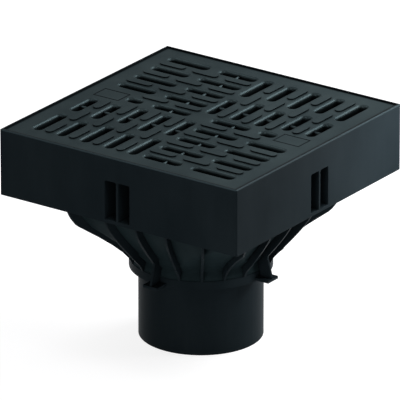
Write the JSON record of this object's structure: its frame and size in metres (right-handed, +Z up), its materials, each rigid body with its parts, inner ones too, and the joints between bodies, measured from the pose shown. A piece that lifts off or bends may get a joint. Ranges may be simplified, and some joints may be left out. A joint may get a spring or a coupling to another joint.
{
  "type": "gully trap",
  "caption": "Square yard gully with a slotted cast grating, ribbed funnel body, round outlet spigot, silt bucket and lift-out bell trap.",
  "frame": {"origin": "centre of the outlet spigot's lower end, at the base of the part", "axes": "+Z up out of the grating, +X and +Y square to two sides of the top frame"},
  "size_m": [0.25, 0.25, 0.202],
  "materials": {
    "body_plastic": "satin moulded",
    "coated_iron": "dark dip coating",
    "bucket_plastic": "satin moulded",
    "handle_wire": "drawn wire",
    "seal_rubber": "matt",
    "trap_plastic": "satin moulded"
  },
  "bodies": {
    "root": {"top_frame": "body_plastic", "funnel": "body_plastic", "fins": "body_plastic", "outlet_spigot": "body_plastic", "grating": "coated_iron", "silt_bucket": "bucket_plastic", "bucket_handle": "handle_wire", "trap_seal": "seal_rubber", "trap_cup": "trap_plastic", "trap_bell": "trap_plastic"}
  },
  "joints": []
}
